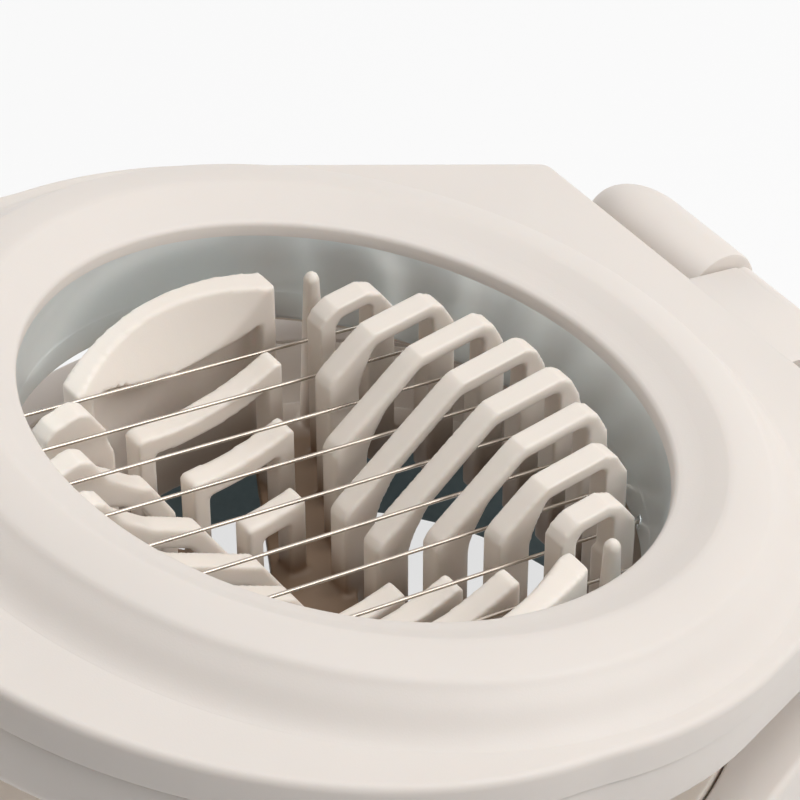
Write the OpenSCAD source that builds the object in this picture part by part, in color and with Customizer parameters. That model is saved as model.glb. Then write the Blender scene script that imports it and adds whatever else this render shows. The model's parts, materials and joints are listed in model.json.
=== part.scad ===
// Wire egg slicer: a slotted egg bed in an open base, and a hinged cutting frame
// with a steel ring that carries nine stretched wires.
// Millimetres, +Z up, Y runs from the lifting tab to the hinge, X along the hinge pin.
// The origin is on the table, under the middle of the resting slicer.

/* [Cutting frame] */
// Radius of the opening at its lip
hole_r = 33; // [31:0.5:36]
// Height of the lip above the table when the frame is shut
lip_z = 34; // [33:0.5:36]
// Radius of the ring's highest line
crest_r = 37.3; // [37:0.1:38.5]
// Height of that line above the lip
crest_h = 1.9; // [1:0.1:3]
// Radius where the rounded crest turns into the outer slope
shoulder_r = 41.6; // [40.5:0.1:42.5]
// Radius where the outer slope meets the flat top
foot_r = 46.4; // [45:0.1:47]
// Fall of the crest's band from that line to the outer slope
band_drop = 0.9; // [0.5:0.1:1.2]
// Depth of the flat top below the lip
plateau_drop = 3.1; // [2:0.1:4]
// Width of the flat rim outside the slope
rim_w = 1.9; // [1.6:0.1:3]
// How far the front's round centre lies before the opening's centre
front_shift = 7.5; // [5:0.1:8]
// How much smaller the front's radius is than the outline's
front_less = 0.6; // [0:0.1:1]
// Thickness of the frame at its edge
frame_t = 10.1; // [9:0.1:11]
// Depth of the seam between the two shells below the flat top
seam_drop = 4; // [3:0.1:4.5]
// Wall of the two shells
shell_wall = 2; // [1.5:0.1:2.5]
// How far the lower shell stands back at the seam
seam_step = 0.25; // [0.1:0.05:0.5]

/* [Lifting tab] */
// Width of the tab
tab_w = 34; // [28:1:40]
// Reach of the tab beyond the frame's outline
tab_reach = 11; // [8:0.5:14]
// Corner radius of the tab
tab_corner = 6; // [4:0.5:8]
// Height of the tab's underside above the frame's
tab_lift = 2; // [1:0.1:3]
// Number of grip ridges on the tab
tab_ridges = 4; // [3:1:5]

/* [Steel ring and wires] */
// Number of wires
wire_count = 9; // [7:2:9]
// Distance between wires
wire_pitch = 5.5; // [5.2:0.1:5.8]
// Wire diameter
wire_d = 0.3; // [0.25:0.05:0.4]
// Depth of the wires below the lip
wire_drop = 10.3; // [9.8:0.1:10.6]
// Wall of the steel ring
ring_wall = 1; // [0.8:0.1:1.2]
// Depth of the ring's lower edge below the lip
ring_drop = 11.4; // [11.2:0.1:11.8]
// Depth of the pressed step line below the lip
step_drop = 8.1; // [7.5:0.1:8.5]
// Width of the ring's outer flange
flange_w = 3; // [2.5:0.1:3.5]
// Radius of a wire's crimped end
crimp_r = 0.7; // [0.6:0.05:0.8]
// Length of a wire's crimped end
crimp_l = 1.2; // [1:0.1:1.4]

/* [Egg bed] */
// Thickness of a rib
rib_t = 2.6; // [2.2:0.1:2.9]
// Half length of the egg hollow, along the hinge
bowl_a = 26.5; // [26:0.1:28]
// Half width of the egg hollow at the hinge-side knees
bowl_b = 18.8; // [18:0.1:20]
// Half width of the egg hollow at the front shoulders
front_b = 21.4; // [20.5:0.1:22]
// Height of the hinge-side rib tops above the lip
rear_rise = 8.3; // [6:0.1:9]
// Height of the front rib tops above the lip
front_rise = 11.5; // [9:0.1:11.8]
// Height of the end blocks above the lip
end_rise = 10.4; // [8:0.1:11]
// Depth of the hollow's lowest point below the lip
bowl_drop = 5.6; // [4:0.1:6.5]
// Fall of the hinge-side ribs towards the middle, per millimetre
rear_slope = 0.68; // [0.6:0.01:0.75]
// Width of the star channels
channel_w = 4.4; // [3.8:0.1:5]
// Angle of the star channels to the hinge line
channel_angle = 30; // [29:0.5:31]
// Angle of a channel's edge along the end ribs
channel_in_angle = 25.8; // [25:0.1:27]
// Angle of a channel's edge along the hinge-side ribs
rear_angle = 30; // [28:0.5:34]
// Start of the hinge-side ribs in front of the hollow's axis
rear_start = 2.6; // [2:0.1:3]
// Start of the front ribs in front of the hollow's axis
front_start = 0.4; // [0.2:0.1:1]
// Rise of the middle ribs towards the end blocks' width
middle_curl = 3.2; // [2:0.1:4]
// Half width of the end blocks
end_half = 12.2; // [11:0.1:12.4]
// Fall of an end block from its crest to the hollow's edge
end_fall = 6.4; // [5:0.1:7]
// Lean of that fall from upright
end_tilt = 29; // [20:1:35]
// Lean of an end block towards the hinge side
end_lean = 4; // [0:0.5:6]
// Radius of that fall's hollow curve
dish_r = 30; // [25:1:50]
// Radius of the end blocks' crown
roof_r = 45; // [40:1:60]
// Thickness of an end block at the hollow's edge
lip_t = 1.6; // [1.2:0.1:2]
// Rise of that edge towards its ends
end_curl = 3; // [2:0.1:3.5]
// Radius of the hinge-side ribs' outer legs
leg_r = 30.2; // [29.5:0.1:30.4]
// Radius of the front ribs' outer legs
front_leg_r = 29.2; // [28.8:0.1:29.4]
// Thickness of a rib's top bar
bar_t = 2.3; // [1.8:0.1:2.6]
// Depth of the hinge side's outer legs
rear_leg_t = 3.6; // [2:0.1:4]
// Thickness of a rib's legs
leg_t = 2; // [1.6:0.1:2.2]
// Thickness of the bed's flange
bed_t = 2; // [1.8:0.1:2.2]
// Radius of a peg at its foot
peg_r = 1.7; // [1.4:0.1:1.8]
// Distance of the pegs from the hinge-side end of the hollow's axis
peg_y = 17; // [16:0.1:17.4]
// Outer radius of the bed's flange
bed_r = 43; // [42.5:0.1:43.5]
// Inner radius of the bed's flange
bed_hole_r = 31.4; // [30:0.1:32]
// Height of the channel floors above the flange
floor_rise = 0.9; // [0.5:0.1:1.1]

/* [Base] */
// Height of the base rim above the table
rim_z = 20.3; // [19.5:0.1:20.4]
// How far the base stands out beyond the frame
base_reach = 0.7; // [0.4:0.1:1]
// Wall of the base shell
base_wall = 2.2; // [1.8:0.1:2.6]
// Radius of the deck's opening
deck_hole_r = 34.6; // [34:0.1:35]
// Gap under the base shell's outer wall
skirt_gap = 0.8; // [0.5:0.1:1.2]
// Wall of the non-slip liner
liner_wall = 2; // [1.6:0.1:2.2]
// Radius of the liner's inner edge at the table
liner_low_r = 36.9; // [36:0.1:38]
// Radius of the liner's foot
liner_foot_r = 41; // [40:0.5:43]
// Thickness of the liner's foot
liner_foot_t = 1.6; // [1.2:0.1:2]

/* [Hinge] */
// Distance of the hinge line behind the opening's centre
hinge_y = 60; // [59.8:0.1:61]
// Height of the hinge line below the lip
hinge_drop = 8; // [7.6:0.1:8.2]
// Position of the frame's hinge edge
hinge_edge_y = 54.1; // [53.5:0.1:54.2]
// Half width of the frame at its hinge edge
hinge_edge_x = 32.5; // [31:0.1:34]
// Radius of the base knuckles
knuckle_r = 5.4; // [5.2:0.05:5.5]
// Half reach of the knuckles' round part along the pin
knuckle_x = 20; // [18:0.5:22]
// Length of the knuckles' domed ends
knuckle_dome = 7.5; // [6:0.5:9]
// Half width of the frame's tongue
tongue_x = 8.2; // [7.5:0.1:9]
// Radius of the tongue around the pin
tongue_r = 4.9; // [4.6:0.05:5]
// Side play between the tongue and the knuckles
tongue_gap = 0.4; // [0.3:0.05:0.6]
// Radius of the hinge pin
pin_r = 1.5; // [1.3:0.05:1.7]
// Running clearance of the pin in the tongue
pin_gap = 0.05; // [0.03:0.01:0.08]
// Depth of the pin's hole in each knuckle
pin_hold = 9; // [7:0.5:11]
// Angle to which the frame stands open at rest
open_angle = 14.9; // [10:0.1:20]

/* [Screws] */
// Radius of a screw's shank
screw_r = 1.1; // [1:0.05:1.3]
// Radius of a screw's head
screw_head_r = 2; // [1.9:0.05:2.2]
// Thickness of a screw's head
screw_head_t = 1.2; // [1:0.1:1.4]
// Distance of the bed screws from the bed's centre
bed_screw_r = 40.4; // [40.2:0.1:40.6]

/* [Hidden] */
shell_colour = [0.90, 0.87, 0.84];
bed_colour = [0.91, 0.88, 0.84];
steel_colour = [0.70, 0.72, 0.71];
liner_colour = [0.24, 0.33, 0.35];
round_fn = 96;
small_fn = 24;
fit_gap = 0.3;        // between pieces of one body that don't press on each other
plateau_z = lip_z - plateau_drop;
seam_z = plateau_z - seam_drop;
frame_z = plateau_z - frame_t;
crest_z = lip_z + crest_h;
wire_z = lip_z - wire_drop;
ring_z = lip_z - ring_drop;
step_z = lip_z - step_drop;
pin_z = lip_z - hinge_drop;
ring_top_z = lip_z - 0.8;
ring_top_r = hole_r - 1;
ring_step_r = hole_r - 1.6;
ring_out_r = ring_step_r + ring_wall + 0.6;
flange_z = seam_z - 1;
flange_r = ring_out_r + flange_w;
deck_z = rim_z - bed_t + 0.1;
deck_t = base_wall;
bed_top_z = deck_z + bed_t;
floor_z = bed_top_z + floor_rise;
first_x = -(wire_count - 1) / 2 * wire_pitch;
last_rib = (wire_count - 1) / 2 - 0.5;
end_x = -first_x + (wire_pitch - rib_t) / 2;
end_r = 29;
relief_r = 6.9;
peg_h = lip_z + rear_rise + 1 - bed_top_z;
frame_r = foot_r + rim_w;
front_r = frame_r - front_less;
post_r = screw_head_r + 0.4;
pocket_in_r = flange_r + shell_wall;
pocket_out_r = foot_r - shell_wall - 0.8;
frame_screw_r = pocket_out_r - post_r - fit_gap;
tab_y = -front_shift - front_r;
side_cut = 0.06;      // the straight sides cut the round middle by this much
foot_reach = bed_hole_r + 1.2;
foot_h = bed_t + 1;   // the feet rise 1 mm over the flange
tab_root = 12;        // the tab runs on inside the round front by this much
front_y = hinge_y + (tab_y - tab_reach + seam_step - hinge_y) * cos(open_angle)
    + (frame_z + tab_lift - pin_z) * sin(open_angle);
centre_y = (front_y + hinge_y + knuckle_r) / 2;
frame_screw_angles = [35, 145, 215, 325];
bed_screw_angles = [45, 135, 225, 315];

// ---------- shared outlines ----------

// x of wire number i, counted from 1
function wire_x(i) = first_x + (i - 1) * wire_pitch;

// half chord of a circle of radius r at distance x from its centre
function chord(r, x) = sqrt(max(r * r - x * x, 0));

// where the line from a point p touches a circle of radius r at c, on the +X side
function touch(p, c, r) =
    let (d = p - c, far = norm(d), turn = atan2(d[1], d[0]) - acos(r / far))
    c + r * [cos(turn), sin(turn)];

// round front, round middle, straight sides that close in to the hinge edge
module outline(inset = 0) {
    corner = [hinge_edge_x - inset, hinge_edge_y - inset];
    side = touch(corner, [0, 0], frame_r - inset - side_cut);
    translate([0, -front_shift]) circle(front_r - inset, $fn = round_fn);
    circle(frame_r - inset, $fn = round_fn);
    polygon([corner, side, [0, -front_shift], [-side[0], side[1]], [-corner[0], corner[1]]]);
}

// lifting tab in front of the outline
module tab_outline(inset = 0) {
    half = tab_w / 2 - inset;
    front = tab_y - tab_reach + inset;
    corner = tab_corner - inset;
    translate([-half, front + corner]) square([2 * half, tab_reach + tab_root]);
    translate([corner - half, front]) square([2 * (half - corner), tab_reach]);
    for (side = [-1, 1])
        translate([side * (half - corner), front + corner]) circle(corner, $fn = 48);
}

// turns the shut frame about the pin to the angle at which it rests
module opened() {
    translate([0, hinge_y - centre_y, pin_z]) rotate([-open_angle, 0, 0]) translate([0, -hinge_y, -pin_z])
        children();
}

// moves a piece of the base to the slicer's own origin
module placed() {
    translate([0, -centre_y, 0]) children();
}

// copies on a circle round the opening
module around(r, angles, y = 0) {
    for (a = angles)
        translate([r * cos(a), y + r * sin(a), 0]) children();
}

// a shaft or bore along X about the hinge line
module along_pin(r, from, to, facets = 48) {
    translate([from, hinge_y, pin_z]) rotate([0, 90, 0]) cylinder(h = to - from, r = r, $fn = facets);
}

// extrudes a profile drawn in Y and Z along X
module across(from, to) {
    translate([from, 0, 0]) rotate([90, 0, 90]) linear_extrude(to - from) children();
}

// ---------- cutting frame ----------

// section of the raised ring, from the lip over the crest to the flat top
module ring_section() {
    band = shoulder_r - crest_r;
    slope_z = crest_z - band_drop;
    polygon(concat(
        [[ring_top_r, seam_z], [ring_top_r, ring_top_z], [ring_top_r + 0.3, lip_z - 0.3], [hole_r, lip_z],
            [crest_r - 1, crest_z - 0.35], [crest_r, crest_z]],
        [for (s = [0.25:0.25:1]) [crest_r + band * s, crest_z - band_drop * s * s]],
        [for (s = [0.2:0.2:1]) [shoulder_r + (foot_r - shoulder_r) * s,
            slope_z - (slope_z - plateau_z) * (1 - pow(1 - s, 1.4))]],
        [[foot_r, seam_z]]));
}

module frame_tongue() {
    across(-tongue_x, tongue_x) {
        translate([hinge_y, pin_z]) circle(tongue_r, $fn = 64);
        translate([hinge_edge_y - 4, pin_z - tongue_r]) square([hinge_y - hinge_edge_y + 4, tongue_r + 1]);
        translate([hinge_edge_y - 4, pin_z]) square([hinge_y - hinge_edge_y + 5.2, plateau_z - pin_z]);
    }
}

// upper shell with the raised ring, the tab and the hinge tongue
module frame_top() {
    color(shell_colour) opened() difference() {
        union() {
            translate([0, 0, seam_z]) linear_extrude(seam_drop) outline();
            translate([0, 0, seam_z]) linear_extrude(seam_drop) tab_outline();
            rotate_extrude($fn = round_fn) ring_section();
            frame_tongue();
            tab_grip();
        }
        ring_seat();
        rotate_extrude($fn = round_fn) polygon([
            [pocket_in_r, seam_z - 1], [pocket_in_r, crest_z - shell_wall - 1],
            [shoulder_r - 1.4, crest_z - shell_wall - 1], [pocket_out_r, plateau_z - shell_wall + 0.4],
            [pocket_out_r, seam_z - 1]]);
        along_pin(pin_r + pin_gap, -tongue_x - 1, tongue_x + 1);
    }
    color(shell_colour) opened() screw_towers();
}

// hollow posts inside the upper shell, on which the lower shell is screwed
module screw_towers() {
    around(frame_screw_r, frame_screw_angles) difference() {
        translate([0, 0, seam_z - 2]) cylinder(h = plateau_z + 0.6 - seam_z + 2, r = post_r, $fn = small_fn);
        translate([0, 0, seam_z - 3]) cylinder(h = seam_drop + 0.6, r = screw_r, $fn = small_fn);
    }
}

// low ridges across the tab for the thumb
module tab_grip() {
    for (i = [0:tab_ridges - 1])
        translate([-tab_w / 2 + tab_corner + 1, tab_y - tab_reach + 3.2 + 2.2 * i, plateau_z])
            rotate([0, 90, 0]) cylinder(h = tab_w - 2 * tab_corner - 2, r = 0.5, $fn = small_fn);
}

// room in the shells for the steel ring and its flange
module ring_seat() {
    cylinder(h = ring_top_z, r = hole_r - 0.6, $fn = round_fn);
    cylinder(h = seam_z + fit_gap, r = flange_r + 0.1, $fn = round_fn);
    cylinder(h = lip_z + 9, r = ring_top_r + 0.05, $fn = round_fn);
    translate([0, 0, ring_z - 1])
        cylinder(h = ring_top_z - ring_z + 1.02, r = ring_out_r + 0.05, $fn = round_fn);
}

// lower shell that clamps the steel ring and closes the frame from below
module frame_bottom() {
    pocket_r = flange_r + 0.4;
    color(shell_colour) opened() difference() {
        union() {
            translate([0, 0, frame_z]) linear_extrude(seam_z - frame_z) outline(seam_step);
            translate([0, 0, frame_z + tab_lift]) linear_extrude(seam_z - frame_z - tab_lift)
                tab_outline(seam_step);
        }
        translate([0, 0, frame_z - 1]) cylinder(h = frame_t, r = ring_out_r + 0.15, $fn = round_fn);
        translate([0, 0, frame_z + 1.3])
            cylinder(h = flange_z - 1.4 - frame_z - 1.3, r = pocket_r, $fn = round_fn);
        translate([0, 0, flange_z]) cylinder(h = frame_t, r = flange_r + 0.1, $fn = round_fn);
        translate([0, 0, frame_z + shell_wall]) rotate_extrude($fn = round_fn)
            translate([pocket_in_r, 0]) square([pocket_out_r - pocket_in_r, frame_t]);
        translate([-tongue_x - fit_gap, hinge_edge_y - 4 - fit_gap, frame_z - 1])
            cube([2 * (tongue_x + fit_gap), 9, frame_t + 2]);
        around(frame_screw_r, frame_screw_angles) {
            translate([0, 0, frame_z - 1])
                cylinder(h = screw_head_t + 1.3, r = screw_head_r + 0.2, $fn = small_fn);
            translate([0, 0, frame_z]) cylinder(h = frame_t, r = screw_r + 0.15, $fn = small_fn);
        }
    }
    color(shell_colour) opened() around(frame_screw_r, frame_screw_angles) difference() {
        translate([0, 0, frame_z + screw_head_t + 0.3])
            cylinder(h = seam_z - frame_z - 2 - screw_head_t - 0.3, r = post_r + 0.4, $fn = small_fn);
        translate([0, 0, frame_z]) cylinder(h = frame_t, r = screw_r + 0.15, $fn = small_fn);
    }
}

module frame_screws() {
    color(steel_colour) opened() around(frame_screw_r, frame_screw_angles) {
        translate([0, 0, frame_z + 0.3]) cylinder(h = screw_head_t, r = screw_head_r, $fn = small_fn);
        translate([0, 0, frame_z + 0.3])
            cylinder(h = plateau_z - frame_z - 3.2, r = screw_r, $fn = small_fn);
    }
}

// steel ring with its flange, pressed step and drawn wire holes
module wire_ring() {
    color(steel_colour) opened() difference() {
        rotate_extrude($fn = round_fn) polygon([
            [ring_top_r, ring_top_z], [ring_top_r + 0.6, ring_top_z], [ring_out_r, ring_top_z - 1],
            [ring_out_r, seam_z], [flange_r, seam_z], [flange_r, flange_z], [ring_out_r, flange_z],
            [ring_out_r, ring_z], [ring_step_r, ring_z], [ring_step_r, step_z - 0.15],
            [ring_step_r + 0.25, step_z], [ring_step_r + 0.1, step_z + 0.15], [ring_top_r, lip_z - 3]]);
        for (i = [1:wire_count])
            wire_holes(wire_x(i));
    }
}

// the two holes of one wire, each with a small dimple on the inner face
module wire_holes(x) {
    reach = chord(ring_step_r, x);
    translate([x, 0, wire_z]) rotate([90, 0, 0])
        cylinder(h = 2 * ring_out_r + 4, r = wire_d / 2 + 0.05, center = true, $fn = small_fn);
    for (side = [0, 180])
        rotate([0, 0, side]) translate([side == 0 ? x : -x, reach - 0.25, wire_z]) rotate([-90, 0, 0])
            cylinder(h = 0.7, r1 = 0.75, r2 = 0.25, $fn = small_fn);
}

module wire(i) {
    reach = chord(ring_out_r, wire_x(i)) + crimp_l + 0.1;
    color(steel_colour) opened() translate([wire_x(i), 0, wire_z]) rotate([90, 0, 0])
        cylinder(h = 2 * reach, r = wire_d / 2, center = true, $fn = 16);
}

// distance of a crimped bead's middle from the ring's own middle
function crimp_y(x) = chord(ring_out_r, abs(x) - crimp_r) + 0.1 + crimp_l / 2;

// crimped beads that stop the wires behind the ring
module wire_crimps() {
    color(steel_colour) opened() for (i = [1:wire_count], side = [-1, 1])
        translate([wire_x(i), side * crimp_y(wire_x(i)), wire_z])
            rotate([90, 0, 0]) difference() {
                cylinder(h = crimp_l, r = crimp_r, center = true, $fn = 16);
                cylinder(h = crimp_l + 1, r = wire_d / 2 + 0.01, center = true, $fn = 16);
            }
}

// ---------- egg bed ----------

// half width of the end ribs at x, up to the star channels
function middle_half(x) = abs(x) * tan(channel_in_angle) - 0.4;

// height of the hollow along its length
function hollow_z(x) = lip_z - bowl_drop + (end_rise - 1) * (1 - cos(180 * min(abs(x) / 24, 1))) / 2;

// height of a middle rib's hollow top at y, when its lowest point is low
function dished(y, low) = low + middle_curl * pow(y / end_half, 2) + y * tan(end_lean);

// foot by which a rib's outer leg stands on the flange, at a distance x from the middle
module rib_foot(x, leg_y) {
    intersection() {
        rib_slice(x) translate([leg_y - leg_t, deck_z]) square([bed_r - leg_y, foot_h]);
        cylinder(h = lip_z, r = foot_reach, $fn = round_fn);
    }
}

// arch rib of the hinge side: flat top, knee and a straight fall to the channel
module rear_rib(x) {
    leg = chord(leg_r, x);
    top_z = lip_z + rear_rise;
    in_y = rear_start + abs(x) * tan(rear_angle);
    knee = max(bowl_b * chord(1, x / bowl_a), in_y + 1.7);
    end_z = top_z - (knee - in_y) * rear_slope;
    room_y = leg - rear_leg_t;
    rib_slice(x) difference() {
        polygon([[in_y, deck_z], [in_y, end_z - 0.6], [in_y + 0.6, end_z + 0.3], [knee - 0.9, top_z - 0.7],
            [knee + 0.3, top_z], [chord(leg_r - 2.6, x), top_z], [chord(leg_r - 1.4, x), top_z - 0.9],
            [leg - 0.2, top_z - 3.6], [leg, top_z - 6], [leg, deck_z]]);
        polygon([[in_y + leg_t, deck_z - 1], [in_y + leg_t, end_z - bar_t + leg_t * rear_slope - 0.8],
            [max(knee + 0.2, in_y + leg_t + 0.6), top_z - bar_t], [room_y - 0.8, top_z - bar_t],
            [room_y, top_z - bar_t - 0.8], [room_y, deck_z - 1]]);
    }
    rib_foot(x, leg);
}

// front rib: tall shoulder, two falls and a steep end at the channel
module front_rib(x) {
    leg = chord(front_leg_r, x);
    top_z = lip_z + front_rise;
    in_y = front_start + abs(x) * tan(channel_angle);
    shoulder = front_b * chord(1, x / bowl_a);
    long = shoulder - 6.4 > in_y + 1;
    end_y = long ? min(in_y + 3.6, shoulder - 7.4) : in_y + 0.7;
    end_z = long ? top_z - 7.4 - (shoulder - 6 - end_y) * 0.65 : top_z - 5.2;
    foot_z = end_z - (end_y - in_y) * 1.6 - 1;
    fall = long ? [[shoulder - 6, top_z - 7.4]] : [];
    rib_slice(x) mirror([1, 0]) difference() {
        polygon(concat([[in_y, deck_z], [in_y, foot_z], [end_y, end_z]], fall,
            [[shoulder - 2.5, top_z - 4], [shoulder - 0.8, top_z - 0.8], [shoulder + 0.4, top_z],
            [leg * 0.83, top_z - 0.4], [leg * 0.88, top_z - 1.4], [leg - 0.6, lip_z + 4], [leg, lip_z - 2],
            [leg, deck_z]]));
        polygon(concat([[in_y + leg_t, deck_z - 1], [in_y + leg_t, foot_z - bar_t + 1.4]],
            [[max(end_y + 1.6, in_y + leg_t + 0.2), end_z - bar_t + 0.5]],
            [[max(shoulder - 3, in_y + leg_t + 0.6), top_z - 6.6 - bar_t + 0.6]],
            [[leg - leg_t - 2.2, top_z - 4.6], [leg - leg_t - 0.4, lip_z + 2], [leg - leg_t, deck_z - 1]]));
    }
    rotate([0, 0, 180]) rib_foot(-x, leg);
}

// dished rib between the channels at the ends of the hollow, higher on the hinge side
module middle_rib(x) {
    half = middle_half(x);
    low = hollow_z(x);
    room = half - leg_t;
    rib_slice(x) difference() {
        polygon(concat([[-half, deck_z], [-half, dished(-half, low) - 0.6]],
            [for (s = [-0.92:0.23:0.93]) [s * half, dished(s * half, low)]],
            [[half, dished(half, low) - 0.6], [half, deck_z]]));
        if (room > 1)
            polygon(concat([[-room, deck_z - 1]],
                [for (s = [-1:0.25:1]) [s * room, dished(s * room, low) - bar_t]],
                [[room, deck_z - 1]]));
    }
}

module rib_slice(x) {
    across(x - rib_t / 2, x + rib_t / 2) children();
}

// hooded block that closes one end of the hollow; its hollow side is open below
module end_block() {
    crest = lip_z + end_rise;
    edge_z = crest - end_fall;
    room = end_half - leg_t;
    intersection() {
        translate([end_x, -end_half, deck_z]) cube([end_r, 2 * end_half, foot_h]);
        difference() {
            cylinder(h = crest, r = foot_reach, $fn = round_fn);
            cylinder(h = crest, r = end_r - leg_t, $fn = round_fn);
        }
    }
    difference() {
        intersection() {
            translate([end_x, -end_half, deck_z]) cube([end_r - end_x, 2 * end_half, crest - deck_z]);
            cylinder(h = crest, r = end_r, $fn = round_fn);
            translate([0, roof_r * sin(end_lean), crest - roof_r]) rotate([0, 90, 0])
                cylinder(h = end_r + 1, r = roof_r, $fn = 144);
        }
        translate([end_x, 0, edge_z]) rotate([end_lean, 0, 0]) rotate([0, end_tilt, 0])
            translate([-dish_r, 0, -30]) cylinder(h = 60, r = dish_r, $fn = 144);
        intersection() {
            across(end_x - 1, end_r)
                polygon(concat([for (s = [-1:0.2:1.01]) [s * room, edge_z - lip_t + end_curl * s * s]],
                    [[room, deck_z - 1], [-room, deck_z - 1]]));
            cylinder(h = crest, r = end_r - leg_t, $fn = round_fn);
        }
    }
}

// tapered pegs beside the outermost ribs
module bed_peg(x) {
    translate([x, peg_y, bed_top_z - 1]) rotate_extrude($fn = 32)
        polygon([[0, 0], [peg_r, 0], [peg_r * 0.5, peg_h - 0.6], [peg_r * 0.25, peg_h], [0, peg_h]]);
}

module egg_bed() {
    color(bed_colour) placed() difference() {
        union() {
            difference() {
                translate([0, 0, deck_z]) cylinder(h = bed_t, r = bed_r, $fn = round_fn);
                translate([0, 0, deck_z - 1]) cylinder(h = bed_t + 2, r = bed_hole_r, $fn = round_fn);
            }
            for (turn = [-channel_angle, channel_angle])
                intersection() {
                    rotate([0, 0, turn]) translate([-bed_r, -channel_w / 2 - leg_t, deck_z + 0.5])
                        cube([2 * bed_r, channel_w + 2 * leg_t, floor_z - deck_z - 0.5]);
                    cylinder(h = lip_z, r = foot_reach, $fn = round_fn);
                }
            for (i = [-last_rib:1:last_rib]) {
                rear_rib(i * wire_pitch);
                front_rib(i * wire_pitch);
                if (middle_half(i * wire_pitch) > 1.5)
                    middle_rib(i * wire_pitch);
            }
            end_block();
            mirror([1, 0, 0]) end_block();
            for (side = [-1, 1])
                bed_peg(side * (end_x + 0.6));
        }
        around(bed_screw_r, bed_screw_angles)
            translate([0, 0, deck_z - 1]) cylinder(h = bed_t + 0.4, r = screw_r, $fn = small_fn);
    }
}

// ---------- base ----------

// knuckle with a domed outer end, and the web that carries it
module knuckle() {
    from = tongue_x + tongue_gap;
    along_pin(knuckle_r, from, knuckle_x, 64);
    translate([knuckle_x, hinge_y, pin_z]) rotate([0, 90, 0]) rotate_extrude($fn = 64)
        polygon(concat([[0, 0]], [for (a = [0:9:81]) [knuckle_r * cos(a), knuckle_dome * sin(a)]],
            [[0, knuckle_dome * sin(81)]]));
    across(from, knuckle_x + 1)
        translate([hinge_y - knuckle_r, rim_z - 2]) square([2 * knuckle_r, pin_z - rim_z + 2]);
    across(knuckle_x, knuckle_x + knuckle_dome * 0.8)
        translate([hinge_y - knuckle_r * 0.7, rim_z - 2]) square([1.4 * knuckle_r, pin_z - rim_z + 0.6]);
}

// plan of the base shell: a little outside the frame's outline, with a rear ledge under the knuckles
module base_outline(inset = 0) {
    ledge = knuckle_x + knuckle_dome - inset;
    outline(inset - base_reach);
    translate([-ledge, 0]) square([2 * ledge, hinge_y + knuckle_r - 4 - inset]);
    translate([4 - ledge, 0]) square([2 * (ledge - 4), hinge_y + knuckle_r - inset]);
    for (side = [-1, 1])
        translate([side * (ledge - 4), hinge_y + knuckle_r - 4 - inset]) circle(4, $fn = 48);
}

module base_shell() {
    color(shell_colour) placed() difference() {
        union() {
            translate([0, 0, skirt_gap]) linear_extrude(rim_z - skirt_gap) base_outline();
            knuckle();
            mirror([1, 0, 0]) knuckle();
        }
        translate([0, 0, skirt_gap - 1])
            linear_extrude(deck_z - deck_t - skirt_gap + 1) base_outline(base_wall);
        cylinder(h = rim_z + 5, r = deck_hole_r, $fn = round_fn);
        translate([0, 0, deck_z]) cylinder(h = 5, r = bed_r + fit_gap, $fn = round_fn);
        along_pin(relief_r, -tongue_x - tongue_gap, tongue_x + tongue_gap, 64);
        along_pin(pin_r, -tongue_x - tongue_gap - pin_hold, tongue_x + tongue_gap + pin_hold);
        around(bed_screw_r, bed_screw_angles)
            cylinder(h = rim_z, r = screw_r + 0.15, $fn = small_fn);
    }
}

// non-slip liner on which the slicer stands
module base_liner() {
    out_r = deck_hole_r + liner_wall;
    low_r = liner_low_r + liner_wall;
    color(liner_colour) placed() rotate_extrude($fn = round_fn)
        polygon([[liner_low_r, 0], [liner_foot_r, 0], [liner_foot_r + 0.3, 0.4], [liner_foot_r, liner_foot_t],
            [low_r + 0.6, liner_foot_t], [low_r, liner_foot_t + 0.6], [out_r, deck_z - deck_t],
            [deck_hole_r, deck_z - deck_t]]);
}

module bed_screws() {
    color(steel_colour) placed() around(bed_screw_r, bed_screw_angles) {
        translate([0, 0, deck_z - deck_t - screw_head_t])
            cylinder(h = screw_head_t, r = screw_head_r, $fn = small_fn);
        translate([0, 0, deck_z - deck_t - screw_head_t])
            cylinder(h = screw_head_t + deck_t + bed_t - 0.8, r = screw_r, $fn = small_fn);
    }
}

module hinge_pin() {
    half = tongue_x + tongue_gap + pin_hold;
    color(steel_colour) placed() along_pin(pin_r, -half, half);
}

base_shell();
base_liner();
egg_bed();
bed_screws();
hinge_pin();
frame_top();
frame_bottom();
frame_screws();
wire_ring();
wire_crimps();
wire(1);  // wire_1
wire(2);  // wire_2
wire(3);  // wire_3
wire(4);  // wire_4
wire(5);  // wire_5
wire(6);  // wire_6
wire(7);  // wire_7
wire(8);  // wire_8
wire(9);  // wire_9
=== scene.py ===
import json
import math

import bmesh
import bpy
from bpy.props import FloatProperty, FloatVectorProperty, IntProperty, PointerProperty
from mathutils import Matrix, Vector


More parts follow.
